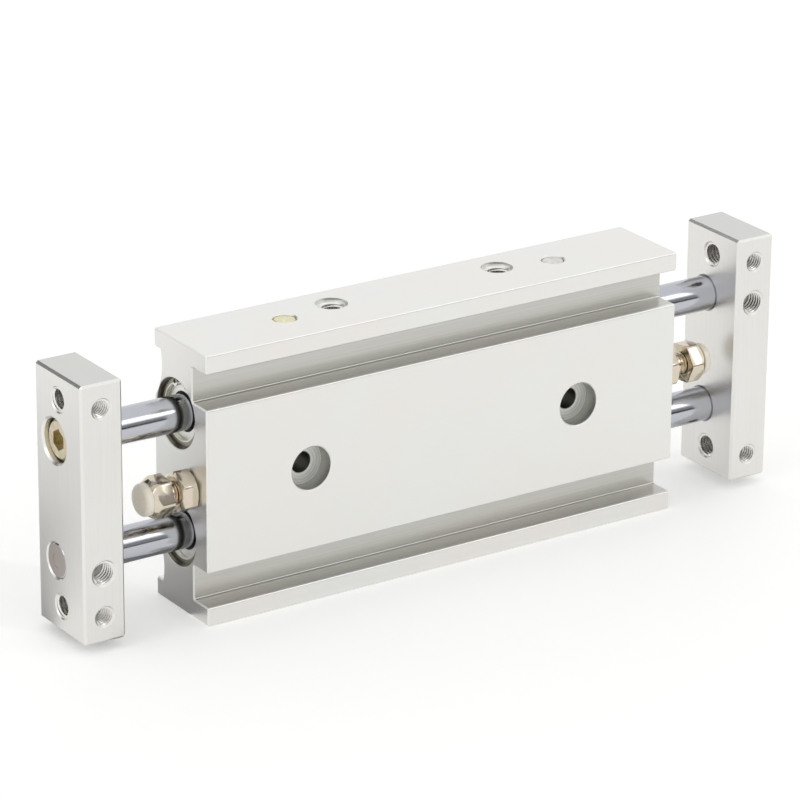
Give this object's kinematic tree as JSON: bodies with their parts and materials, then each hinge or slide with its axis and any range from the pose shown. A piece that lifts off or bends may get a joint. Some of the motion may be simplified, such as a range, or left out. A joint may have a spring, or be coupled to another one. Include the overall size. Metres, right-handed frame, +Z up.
{
  "type": "guided pneumatic cylinder",
  "caption": "Slim dual-rod guided pneumatic cylinder: two parallel through rods join an end plate at each side of a grooved housing with adjustable stops.",
  "frame": {"origin": "middle of the housing's long narrow base face", "axes": "+X along the rods, from the left end plate to the right one; +Z up from the base face; -Y is the front, which has the two sensor grooves"},
  "size_m": [0.1696, 0.02, 0.058],
  "materials": {
    "anodised_aluminium": "blasted and clear anodised",
    "machined_aluminium": "turned",
    "hard_chrome_steel": "ground and hard chromed",
    "nickel_plated_steel": "nickel plated",
    "zinc_plated_steel": "zinc plated, yellow passivated",
    "spring_steel": "bright spring steel",
    "bearing_bronze": "bored bronze",
    "brass": "turned",
    "nitrile_rubber": "moulded",
    "polyurethane": "moulded",
    "rubber_magnet": "bonded ferrite",
    "wear_ring_plastic": "filled plastic",
    "black_oxide_steel": "black oxide"
  },
  "bodies": {
    "housing": {"housing": "anodised_aluminium", "left_gallery_plug": "brass", "left_lock_nut": "nickel_plated_steel", "left_lower_cover_o_ring": "nitrile_rubber", "left_lower_retaining_ring": "spring_steel", "left_lower_rod_bush": "bearing_bronze", "left_lower_rod_cover": "machined_aluminium", "left_lower_rod_seal": "nitrile_rubber", "left_lower_seal_washer": "spring_steel", "left_upper_cover_o_ring": "nitrile_rubber", "left_upper_retaining_ring": "spring_steel", "left_upper_rod_bush": "bearing_bronze", "left_upper_rod_cover": "machined_aluminium", "left_upper_rod_seal": "nitrile_rubber", "left_upper_seal_washer": "spring_steel", "right_gallery_plug": "brass", "right_lock_nut": "nickel_plated_steel", "right_lower_cover_o_ring": "nitrile_rubber", "right_lower_retaining_ring": "spring_steel", "right_lower_rod_bush": "bearing_bronze", "right_lower_rod_cover": "machined_aluminium", "right_lower_rod_seal": "nitrile_rubber", "right_lower_seal_washer": "spring_steel", "right_upper_cover_o_ring": "nitrile_rubber", "right_upper_retaining_ring": "spring_steel", "right_upper_rod_bush": "bearing_bronze", "right_upper_rod_cover": "machined_aluminium", "right_upper_rod_seal": "nitrile_rubber", "right_upper_seal_washer": "spring_steel"},
    "carriage": {"left_cap_screw": "zinc_plated_steel", "left_plate": "anodised_aluminium", "left_plate_o_rings": "nitrile_rubber", "left_rod_plug": "brass", "left_set_screw": "black_oxide_steel", "lower_magnet": "rubber_magnet", "lower_piston": "machined_aluminium", "lower_piston_clips": "spring_steel", "lower_piston_seal": "nitrile_rubber", "lower_rod": "hard_chrome_steel", "lower_wear_ring": "wear_ring_plastic", "right_cap_screw": "zinc_plated_steel", "right_plate": "anodised_aluminium", "right_plate_o_rings": "nitrile_rubber", "right_rod_plug": "brass", "right_set_screw": "black_oxide_steel", "upper_magnet": "rubber_magnet", "upper_piston": "machined_aluminium", "upper_piston_clips": "spring_steel", "upper_piston_seal": "nitrile_rubber", "upper_rod": "hard_chrome_steel", "upper_wear_ring": "wear_ring_plastic"},
    "left_stop_pad": {"left_bumper_pad": "polyurethane"},
    "left_stop_screw": {"left_stopper_bolt": "nickel_plated_steel"},
    "right_stop_pad": {"right_bumper_pad": "polyurethane"},
    "right_stop_screw": {"right_stopper_bolt": "nickel_plated_steel"}
  },
  "joints": [
    {"name": "carriage_slide", "type": "slide", "parent": "housing", "child": "carriage", "axis": [1, 0, 0], "range_m": [-0.0037, 0.0062]},
    {"name": "left_stop_advance", "type": "slide", "parent": "housing", "child": "left_stop_pad", "axis": [1, 0, 0], "range_m": [0, 0.0018]},
    {"name": "left_stop_turn", "type": "hinge", "parent": "left_stop_pad", "child": "left_stop_screw", "pos_m": [-0.062, -0.0033, 0.0277], "axis": [1, 0, 0], "range_deg": [-0.5, 810.5]},
    {"name": "right_stop_advance", "type": "slide", "parent": "housing", "child": "right_stop_pad", "axis": [-1, 0, 0], "range_m": [0, 0.0028]},
    {"name": "right_stop_turn", "type": "hinge", "parent": "right_stop_pad", "child": "right_stop_screw", "pos_m": [0.062, -0.0033, 0.0297], "axis": [-1, 0, 0], "range_deg": [-0.5, 1260.5]}
  ],
  "couplings": [
    {"joint": "left_stop_turn", "follows": "left_stop_advance", "rad_per_m": 7854},
    {"joint": "right_stop_turn", "follows": "right_stop_advance", "rad_per_m": 7854}
  ]
}
